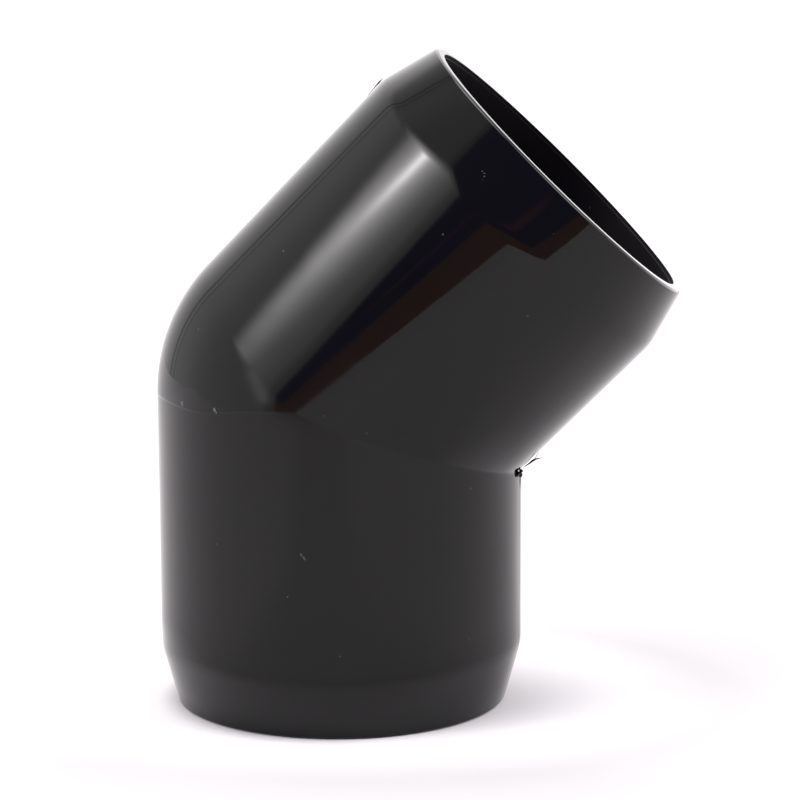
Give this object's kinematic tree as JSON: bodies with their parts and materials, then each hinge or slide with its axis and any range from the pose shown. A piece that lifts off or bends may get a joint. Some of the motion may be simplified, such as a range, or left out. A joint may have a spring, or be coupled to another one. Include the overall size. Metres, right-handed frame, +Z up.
{
  "type": "pvc elbow fitting",
  "caption": "Smooth black PVC elbow that joins two pipes end to end at 45 degrees, with a bevelled slip socket at each mouth",
  "frame": {"origin": "on the surface the elbow stands on, in the middle of its bounding box in X and Y", "axes": "+Z up, along the lower socket; the upper socket leans from +Z towards +X by 45 degrees; X-Z is the plane of the bend and Y is square to it"},
  "size_m": [0.071, 0.05, 0.0887],
  "materials": {
    "black_pvc": "glossy injection-moulded black PVC"
  },
  "bodies": {
    "root": {"lower_socket": "black_pvc", "bend": "black_pvc", "upper_socket": "black_pvc"}
  },
  "joints": []
}
